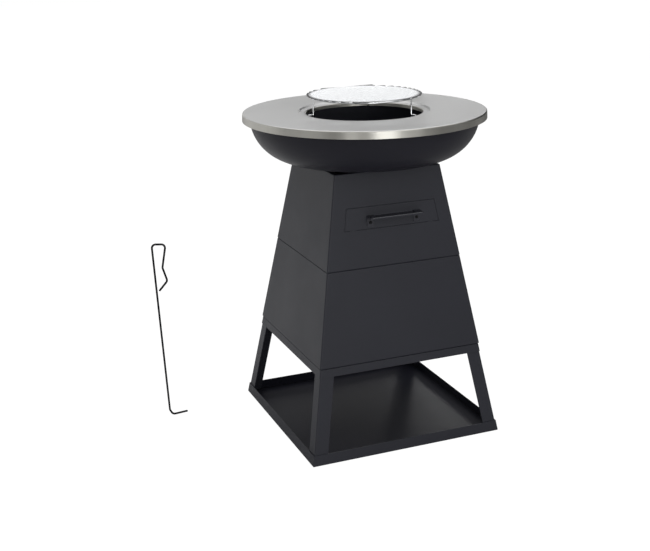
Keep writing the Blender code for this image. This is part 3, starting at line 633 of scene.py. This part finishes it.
# Painted light: a copy of the bowl's paint about four times paler, for light that reaches the bowl's inside.
BOWL_INSIDE_PAINTED_LIGHT = powder_coat("bowl_inside_painted_light", (0.065, 0.067, 0.083), 0.58, 0.66, 0.2, 0.4)
HANDLE_PAINT = grip_paint("handle_gloss_paint", PANEL_BLACK)
WIRE_PAINT = powder_coat("wire_paint", (0.008, 0.008, 0.009), 0.55, 0.65, 0.15)
PLATE = brushed_steel()
SKIRT = rim_steel()
CHROME = chrome_plate("chrome_wire")
BENT_CHROME = chrome_with_painted_dark_ends("bent_wire_chrome")
ZINC = zinc_plate()
SLIDE = slide_zinc()
IRON = heat_iron()


def dress(piece, body, slot, finish, *nodes):
    """The piece's finish, its body, and the CAD nodes that it stands for. The slot is not used."""
    piece.data.materials.clear()
    piece.data.materials.append(finish.material)
    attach(piece, body)
    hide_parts(*nodes)


def second_finish(piece, finish, chosen):
    """Gives a second finish to the faces that chosen picks, from each face's centre and normal."""
    piece.data.materials.append(finish.material)
    for face in piece.data.polygons:
        if chosen(face.center, face.normal):
            face.material_index = 1


def refinish(finish, *nodes, edge):
    """CAD nodes keep their shape and get a finish, and softer edges."""
    for name in nodes:
        node = NODES[name]
        node.data.materials.clear()
        node.data.materials.append(finish.material)
        soften = node.modifiers.new("edges", "BEVEL")
        soften.width = edge
        soften.segments = 2
        soften.limit_method = "ANGLE"
        soften.angle_limit = math.radians(40)


# Stand and body


def base_tray():
    top = high_z("base_tray")
    rings = [(half_width(0, TRAY_PROUD), 0), (half_width(top, TRAY_PROUD), top)]
    tray = square_loft("tray_shell", rings, (1, 0, 1), closed_start=True)
    bevel(tray, TRAY_FOLD)
    solidify(tray, TRAY_SHEET)
    tray = baked(tray)
    dress(tray, "pedestal", "black_paint", PANEL, "base_tray")

    def inside(centre, normal):
        middle_of_lip = half_width(centre.z, TRAY_PROUD - 0.5 * TRAY_SHEET * SLOPE)
        return max(abs(centre.x), abs(centre.y)) < middle_of_lip

    # The inside of the tray gets the darker copy, which is painted shade.
    second_finish(tray, TRAY_FLOOR_SHADE, inside)


def stand_legs():
    low, high = low_z("leg_front_left"), high_z("leg_front_left")
    for number, name in enumerate(("front_left", "front_right", "rear_right", "rear_left")):
        bm = bmesh.new()
        weight = fold_weights(bm)
        rows = []
        for z in (low + LEG_SHEET * LEAN, high - LEG_SHEET * LEAN):
            half = half_width(z)
            points = ((-half, -half + LEG_WIDTH), (-half, -half), (-half + LEG_WIDTH, -half))
            rows.append([bm.verts.new((x, y, z)) for x, y in points])
        for i in range(2):
            bm.faces.new((rows[0][i], rows[0][i + 1], rows[1][i + 1], rows[1][i]))
        bm.edges.get((rows[0][1], rows[1][1]))[weight] = 1
        leg = link(mesh_from(bm, f"angle_leg_{name}"), f"angle_leg_{name}")
        bevel(leg, LEG_FOLD)
        solidify(leg, LEG_SHEET)
        leg = baked(leg)
        leg.data.transform(Matrix.Rotation(math.radians(90) * number, 4, "Z"))
        dress(leg, "pedestal", "black_paint", PANEL, f"leg_{name}")


def stand_frame():
    low, top = low_z("stand_frame"), high_z("stand_frame") - SEAM_SHADOW / 2
    half = half_width(top, FRAME_PROUD)
    rings = [(half_width(low, FRAME_PROUD), low), (half, top), (half - FRAME_FLANGE, top)]
    rail = square_loft("frame_rail", rings, (0, EDGE_FOLD / FOLD, 0, 1))
    bevel(rail, FOLD)
    solidify(rail, FRAME_SHEET)
    dress(baked(rail), "pedestal", "black_paint", PANEL, "stand_frame")


def body_shell(name, node, proud, low_flange, high_flange):
    """A tapered sheet section. Its flanges are a little off the next section's, so that the seam is dark."""
    bottom, top = low_z(node) + SEAM_SHADOW / 2, high_z(node)
    low_half, high_half = half_width(bottom, proud), half_width(top, proud)
    rings = [
        (low_half - low_flange, bottom),
        (low_half, bottom),
        (high_half, top),
        (high_half - high_flange, top),
    ]
    edge = EDGE_FOLD / FOLD
    shell = square_loft(name, rings, (0, edge, edge, 0, 1))
    bevel(shell, FOLD)
    solidify(shell, BODY_SHEET)
    return shell


def drawer_outline(growth):
    """The drawer front's corners as (x, z), grown outwards."""
    low, high = DRAWER_LOW - growth, DRAWER_HIGH + growth
    low_half = half_width(low, UPPER_PROUD) - DRAWER_MARGIN + growth
    high_half = half_width(high, UPPER_PROUD) - DRAWER_MARGIN + growth
    return [(-low_half, low), (low_half, low), (high_half, high), (-high_half, high)]


def body():
    lower = baked(body_shell("lower_shell", "lower_body", LOWER_PROUD, BODY_FLANGE, BODY_FLANGE))
    dress(lower, "pedestal", "black_paint", PANEL, "lower_body")
    upper = body_shell("upper_shell", "upper_body", UPPER_PROUD, BODY_FLANGE, SEAT_FLANGE)
    reach = half_width(DRAWER_LOW, UPPER_PROUD)
    upper = cut(upper, [prism("opening", drawer_outline(DRAWER_GAP), -reach * 1.2, -reach * 0.6)])
    dress(upper, "pedestal", "black_paint", PANEL, "upper_body")


# Ash drawer


def drawer():
    bm = bmesh.new()
    corners = [bm.verts.new((x, -half_width(z, UPPER_PROUD), z)) for x, z in drawer_outline(0)]
    bm.faces.new(corners)
    front = link(mesh_from(bm, "drawer_panel"), "drawer_panel")
    solidify(front, BODY_SHEET)
    front = baked(front)
    bevel(front, DRAWER_EDGE, 3, by_weight=False)
    dress(front, "ash_drawer", "black_paint", PANEL, "drawer_front")
    refinish(PANEL, "ash_drawer_pan", edge=DRAWER_EDGE)
    refinish(ZINC, "handle_nut_left", "handle_nut_right", edge=0.0003)


def handle():
    """One folded sheet: a U of a bar and two arms, seen from above, with a lip and two feet bent down."""

    def back(z):
        return -half_width(z, UPPER_PROUD) - GAP * SLOPE

    top = high_z("handle")
    root = back(top)
    front = root - HANDLE_REACH
    outer, inner = HANDLE_LENGTH / 2, HANDLE_LENGTH / 2 - HANDLE_ARM
    outside = [(-outer, root), (-outer, front), (outer, front), (outer, root)]
    outside = rounded(outside, HANDLE_OUTER_CORNER, 8)
    inside_y = front + HANDLE_GRIP
    inside = [(inner, root), (inner, inside_y), (-inner, inside_y), (-inner, root)]
    inside = rounded(inside, HANDLE_INNER_CORNER, 5)
    bm = bmesh.new()
    weight = fold_weights(bm)
    rim = [bm.verts.new((p.x + HANDLE_OFFSET, p.y, top)) for p in outside + inside]
    bm.faces.new(rim)
    folds = list(zip(rim[1 : len(outside) - 1], rim[2 : len(outside) - 1]))
    lip = [bm.verts.new((p.x + HANDLE_OFFSET, p.y, top - HANDLE_LIP)) for p in outside[1:-1]]
    for (a, b), c, d in zip(folds, lip, lip[1:]):
        bm.faces.new((a, c, d, b))
    low = top - HANDLE_FOOT
    for a, b in ((rim[-1], rim[0]), (rim[len(outside) - 1], rim[len(outside)])):
        foot = [bm.verts.new((v.co.x, back(low), low)) for v in (a, b)]
        bm.faces.new((a, foot[0], foot[1], b))
        folds.append((a, b))
    for a, b in folds:
        bm.edges.get((a, b))[weight] = 1
    bmesh.ops.recalc_face_normals(bm, faces=bm.faces)
    made = link(mesh_from(bm, "drawer_handle"), "drawer_handle")
    bevel(made, HANDLE_FOLD, 6)
    solidify(made, HANDLE_SHEET)
    dress(baked(made), "ash_drawer", "black_paint", HANDLE_PAINT, "handle")


def recess_tool(turn):
    """One bar of the cross that is cut into a screw's head."""
    bm = bmesh.new()
    size = Matrix.Diagonal((*RECESS, 1))
    rotation = Matrix.Rotation(math.radians(turn + RECESS_TURN), 4, "Z")
    bmesh.ops.create_cube(bm, size=1, matrix=rotation @ size)
    bmesh.ops.translate(bm, verts=bm.verts, vec=(0, 0, RECESS_HEIGHT))
    return link(mesh_from(bm, f"slot_{turn}"), f"slot_{turn}")


def handle_screws():
    """Domed screws with a cross recess."""
    dome = [
        (SCREW_HEAD_RADIUS * math.sin(a), SCREW_HEAD_HEIGHT * math.cos(a))
        for a in (0.3, 0.6, 0.9, 1.2, 1.5708)
    ]
    shank = [(SCREW_RADIUS, 0), (SCREW_RADIUS, -SCREW_LENGTH), (0, -SCREW_LENGTH)]
    profile = [(0, SCREW_HEAD_HEIGHT), *dome, *shank]
    z = high_z("handle") - SCREW_DROP
    up = Vector((0, LEAN, 1)) / SLOPE
    outward = Vector((0, -1, LEAN)) / SLOPE
    for word in ("left", "right"):
        low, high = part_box(f"handle_screw_{word}")
        x = (low[0] + high[0]) / 2
        screw = turned(f"pan_screw_{word}", profile, steps=32)
        screw = cut(screw, [recess_tool(0), recess_tool(90)])
        matrix = Matrix((Vector((1, 0, 0)), up, outward)).transposed().to_4x4()
        seat = Vector((x, -half_width(z, UPPER_PROUD), z))
        matrix.translation = seat + outward * (2 * GAP + HANDLE_SHEET)
        screw.data.transform(matrix)
        dress(screw, "ash_drawer", "zinc", WIRE_PAINT, f"handle_screw_{word}")


# Fire bowl and charcoal grate


def bowl_profile(bottom):
    """From the rim down the flared wall and round the knuckle to the middle of the shallow dish."""
    x0 = BOWL_RIM - BOWL_KNUCKLE * math.cos(BOWL_FLARE)
    z0 = BOWL_DEPTH + BOWL_KNUCKLE * math.sin(BOWL_FLARE)
    b = (BOWL_DISH - z0) * math.cos(BOWL_FLARE) - x0 * math.sin(BOWL_FLARE)
    c = x0**2 + (BOWL_DISH - z0) ** 2 - (BOWL_DISH - BOWL_KNUCKLE) ** 2
    wall = math.sqrt(b * b - c) - b
    centre = (x0 - wall * math.sin(BOWL_FLARE), z0 - wall * math.cos(BOWL_FLARE))
    low = math.atan2(centre[0], BOWL_DISH - centre[1])
    points = [(BOWL_RIM, BOWL_DEPTH)]
    points += arc(centre, BOWL_KNUCKLE, -BOWL_FLARE, low - QUARTER, 24)
    steps = 10
    radii = [BOWL_DISH * math.sin(low * i / steps) for i in range(steps - 1, -1, -1)]
    points += [(r, BOWL_DISH - math.sqrt(BOWL_DISH**2 - r * r)) for r in radii]
    return [(r, z + bottom) for r, z in points]


def fire_bowl():
    bottom = low_z("fire_bowl")
    shell = turned("bowl_shell", bowl_profile(bottom), BOWL_SHEET)
    holes = [polar(ASH_CIRCLE, 2 * math.pi * i / 6) for i in range(6)] + [(0, 0)]
    tools = []
    for i, (x, y) in enumerate(holes):
        tools.append(rod(f"ash_{i}", (x, y, bottom - ASH_REACH), (x, y, bottom + ASH_REACH), ASH_HOLE, 32))
    shell = cut(shell, tools)
    dress(shell, "pedestal", "bowl_paint", BOWL, "fire_bowl")

    def inside(centre, normal):
        inward = centre.x * normal.x + centre.y * normal.y < 0
        return inward or (normal.z > 0.5 and math.hypot(centre.x, centre.y) < 0.3)

    # The inside gets the paler copy of the paint, which is painted light.
    second_finish(shell, BOWL_INSIDE_PAINTED_LIGHT, inside)


# Griddle plate


def pressed_step(start, low, high, folds, slope):
    """A pressed step in a sheet, from (start, low) outwards and up to the height high."""
    low_fold, high_fold = folds
    low_end = (start + low_fold * math.sin(slope), low + low_fold * (1 - math.cos(slope)))
    rise = high - high_fold * (1 - math.cos(slope)) - low_end[1]
    outer = low_end[0] + rise / math.tan(slope) + high_fold * math.sin(slope)
    points = arc((start, low + low_fold), low_fold, -QUARTER, slope - QUARTER, 6)
    return points + arc((outer, high - high_fold), high_fold, QUARTER + slope, QUARTER, 8)


def griddle_plate():
    top = high_z("griddle_plate")
    ledge = top - LEDGE_DEPTH
    hole_corner = (HOLE_RADIUS + HOLE_CORNER, ledge - HOLE_CORNER)
    rim_corner = (PLATE_RADIUS - SKIRT_FLARE - PLATE_CORNER, top - PLATE_CORNER)
    profile = [(HOLE_RADIUS, ledge - HOLE_FLANGE)]
    profile += arc(hole_corner, HOLE_CORNER, 2 * QUARTER, QUARTER, 10)
    profile += pressed_step(STEP_RADIUS, ledge, top, STEP_FOLDS, STEP_SLOPE)
    profile += arc(rim_corner, PLATE_CORNER, QUARTER, 0, 8)
    profile += [(PLATE_RADIUS, top - SKIRT_HEIGHT)]
    plate = baked(turned("plate_skin", profile, PLATE_SHEET, 256), math.radians(40))
    dress(plate, "griddle", "stainless_steel", PLATE, "griddle_plate")

    def upright(centre, normal):
        out = math.hypot(centre.x, centre.y)
        return abs(normal.z) < 0.75 and (out > 0.3 or out < HOLE_RADIUS + HOLE_CORNER)

    second_finish(plate, SKIRT, upright)
    refinish(PLATE, "plate_lug_1", "plate_lug_2", "plate_lug_3", edge=0.0006)


# Cooking grate


def grate_runs(z):
    """The bent wire's path: straight runs to and fro inside a circle, joined by half-round bends."""
    reach = WIRE_REACH - WIRE / 2
    bend = WIRE_PITCH / 2
    count = 2 * int((reach - WIRE_PITCH) / WIRE_PITCH) + 1
    first = -(count - 1) * bend
    path = [(-WIRE_END, first, z)]
    for index in range(count - 1):
        y = first + (index + 0.5) * WIRE_PITCH
        x = math.sqrt(reach**2 - y**2) - bend
        side = 1 if index % 2 == 0 else -1
        path += [(side * (x + bx), y + by, z) for bx, by in arc((0, 0), bend, -QUARTER, QUARTER, 12)]
    path.append((WIRE_END if count % 2 else -WIRE_END, -first, z))
    return path


def dress_grate(piece, node, finish=CHROME):
    dress(piece, "cooking_grate", "chrome", finish, node)


def cooking_grate():
    top = high_z("grate_wire")
    dress_grate(wire("bent_wire", grate_runs(top - WIRE / 2), WIRE / 2), "grate_wire", BENT_CHROME)
    under_wire = top - WIRE - GAP
    ring_z = under_wire - ROD_RADIUS
    ring_radius = LEG_CIRCLE - ROD_RADIUS - GAP - ROD_RADIUS
    ring = [(*polar(ring_radius, 2 * math.pi * i / 128), ring_z) for i in range(128)]
    dress_grate(wire("wire_hoop", ring, ROD_RADIUS, cyclic=True), "grate_ring")
    inside_ring = ring_radius - ROD_RADIUS - GAP
    reach = math.sqrt(inside_ring**2 - (CROSS_OFFSET + ROD_RADIUS) ** 2)
    for side, word in ((-1, "left"), (1, "right")):
        ends = [(side * CROSS_OFFSET, end, ring_z) for end in (-reach, reach)]
        dress_grate(wire(f"cross_wire_{word}", ends, ROD_RADIUS), f"grate_cross_{word}")
    plate_top = high_z("griddle_plate")
    foot_z = plate_top - LEDGE_DEPTH + GAP + ROD_RADIUS
    for number in range(3):
        angle = FIRST_LEG + 2 * math.pi * number / 3
        x, y = polar(LEG_CIRCLE, angle)
        ends = [(x, y, plate_top - LEG_DROP), (x, y, under_wire)]
        leg = wire(f"wire_leg_{number + 1}", ends, ROD_RADIUS)
        foot = wire(f"stub_{number}", [(x, y, foot_z), (*polar(FOOT_CIRCLE, angle), foot_z)], ROD_RADIUS)
        dress_grate(cut(leg, [foot], "UNION"), f"grate_leg_{number + 1}")


# Poker


def poker():
    level = Vector((math.cos(POKER_TURN), math.sin(POKER_TURN), 0))
    path = rounded(POKER_BENDS, POKER_BEND, 14)
    lowest = min(p.y for p in path) - POKER_RADIUS
    origin = Vector((*POKER_PLACE, -lowest))
    points = [origin + level * p.x + Vector((0, 0, p.y)) for p in path]
    made = wire("poker_wire", points, POKER_RADIUS, resolution=5)
    dress(made, "poker", "black_paint", WIRE_PAINT, "poker")


# Studio

# Tones of the far floor and of the wall's foot that reflections see, by bearing from the grill in degrees
FAR_PAPER = (
    (-180, 0.73), (-163, 0.95), (-138, 0.0), (-123, 1.0), (-70, 0.4), (-35, 0.14), (-10, 0.44),
    (15, 0.68), (35, 0.38), (85, 0.41), (105, 1.0), (145, 0.96), (180, 0.73),
)
WALL_FOOT = (
    (-180, 0.46), (-20, 0.34), (0, 0.0), (40, 0.0), (60, 0.2), (72, 0.81), (90, 0.74),
    (110, 0.95), (150, 1.0), (170, 0.3), (180, 0.46),
)


def studio():
    """A pale floor that holds the object's shadow. Reflections see it as paper: paler towards the rear left
    close by, and in light and dark tones by bearing far off."""
    bpy.ops.mesh.primitive_plane_add(size=40, location=(0, 0, -0.0005))
    floor = bpy.context.object
    floor.name = "studio_floor"
    material = bpy.data.materials.new("pale_floor")
    material.use_nodes = True
    tree = material.node_tree
    tree.nodes.clear()
    out = tree.nodes.new("ShaderNodeOutputMaterial")
    both = tree.nodes.new("ShaderNodeAddShader")
    matt = tree.nodes.new("ShaderNodeBsdfDiffuse")
    glow = tree.nodes.new("ShaderNodeEmission")
    path = tree.nodes.new("ShaderNodeLightPath")
    place = tree.nodes.new("ShaderNodeTexCoord").outputs["Object"]
    near = ramp(tree, along(tree, place, (-0.7, 0.7, 0)), 0.4, 1.0, -0.6, 1.6)
    far = ramp(tree, length(tree, place), 0.0, 1.0, 1.6, 3.6)
    paper = choose(tree, far, near, sectors(tree, place, FAR_PAPER))
    tone = choose(tree, path.outputs["Is Glossy Ray"], 0.85, paper)
    tone = choose(tree, path.outputs["Is Camera Ray"], tone, 0.12)
    tree.links.new(tone, matt.inputs["Color"])
    shown = choose(tree, path.outputs["Is Camera Ray"], 0.0, 0.96)
    tree.links.new(shown, glow.inputs["Strength"])
    tree.links.new(matt.outputs[0], both.inputs[0])
    tree.links.new(glow.outputs[0], both.inputs[1])
    tree.links.new(both.outputs[0], out.inputs["Surface"])
    floor.data.materials.append(material)


def world():
    """White behind the object. Reflections see a dim wall, a foot of the wall in tones by bearing, and a
    pale ceiling. Other light from it is even."""
    made = bpy.data.worlds.new("studio_world")
    bpy.context.scene.world = made
    made.use_nodes = True
    tree = made.node_tree
    background = tree.nodes["Background"]
    background.inputs["Color"].default_value = (1, 1, 1, 1)
    place = tree.nodes.new("ShaderNodeTexCoord").outputs["Generated"]
    height = along(tree, place, (0, 0, 1))
    upper_wall = ramp(tree, along(tree, place, (0.26, 0.97, 0)), 0.15, 0.03, 0.0, 0.4)
    above_foot = ramp(tree, height, 0.0, 1.0, 0.24, 0.36)
    wall = choose(tree, above_foot, sectors(tree, place, WALL_FOOT), upper_wall)
    ceiling = ramp(tree, height, 0.0, 1.0, 0.49, 0.61)
    room = choose(tree, ceiling, wall, 0.6)
    path = tree.nodes.new("ShaderNodeLightPath")
    light = choose(tree, path.outputs["Is Diffuse Ray"], room, 0.48)
    strength = choose(tree, path.outputs["Is Camera Ray"], light, 1.0)
    tree.links.new(strength, background.inputs["Strength"])


def lamp(name, place, aim, size, power):
    data = bpy.data.lights.new(name, "AREA")
    data.shape = "RECTANGLE"
    data.size, data.size_y = size
    data.energy = power
    obj = bpy.data.objects.new(name, data)
    bpy.context.scene.collection.objects.link(obj)
    obj.location = place
    obj.rotation_euler = (Vector(aim) - Vector(place)).to_track_quat("-Z", "Y").to_euler()


def lights():
    lamp("front_box", (-0.3, -3.5, 1.15), (0, 0, 0.9), (1.2, 0.9), 17.6)
    lamp("front_fill", (0.4, -3.7, 1.9), (0.1, 0, 0.8), (3.2, 1.4), 14.5)
    lamp("front_strip", (-2.35, -3.3, 1.15), (0, 0, 0.9), (0.8, 0.9), 4.2)
    lamp("front_wall", (0.4, -3.2, 3.0), (0.1, 0, 0.8), (3.2, 1.2), 8.7)
    lamp("top_box", (0.2, 0.5, 3.3), (0, 0, 0.8), (5.4, 4.6), 72)
    lamp("rear_box", (2.2, 3.4, 1.2), (0.2, 0, 0.5), (0.6, 0.5), 3.2)


def camera():
    """The photograph's camera, from its azimuth, downward tilt and roll."""
    azimuth, tilt, roll = math.radians(-21.42), math.radians(17.61), math.radians(-1.256)
    right = Vector((math.cos(azimuth), math.sin(azimuth), 0))
    ahead = Vector((-math.sin(azimuth), math.cos(azimuth), 0))
    forward = ahead * math.cos(tilt) + Vector((0, 0, -math.sin(tilt)))
    down = forward.cross(right)
    x_axis = right * math.cos(roll) - down * math.sin(roll)
    y_axis = right * math.sin(roll) + down * math.cos(roll)
    data = bpy.data.cameras.new("photo_camera")
    data.sensor_width = 36
    data.lens = 61.79
    obj = bpy.data.objects.new("photo_camera", data)
    bpy.context.scene.collection.objects.link(obj)
    matrix = Matrix((x_axis, -y_axis, -forward)).transposed().to_4x4()
    matrix.translation = (-1.2788, -2.9238, 1.4529)
    obj.matrix_world = matrix
    bpy.context.scene.camera = obj


def fasteners():
    groups = [f"{group}_{kind}" for group in ("stand", "seam", "bowl") for kind in ("bolt", "nut")]
    return [f"{group}_{number}" for group in groups for number in (1, 2, 3, 4)]


base_tray()
stand_legs()
stand_frame()
body()
drawer()
handle()
handle_screws()
fire_bowl()
griddle_plate()
cooking_grate()
poker()
refinish(IRON, "charcoal_grate", edge=0.0004)
# The runners' darkened zinc is painted shade.
refinish(SLIDE, "runner_left", "runner_right", edge=0.0003)
refinish(ZINC, *fasteners(), edge=0.0004)
studio()
world()
lights()
camera()
scene = bpy.context.scene
scene.view_settings.view_transform = "Standard"
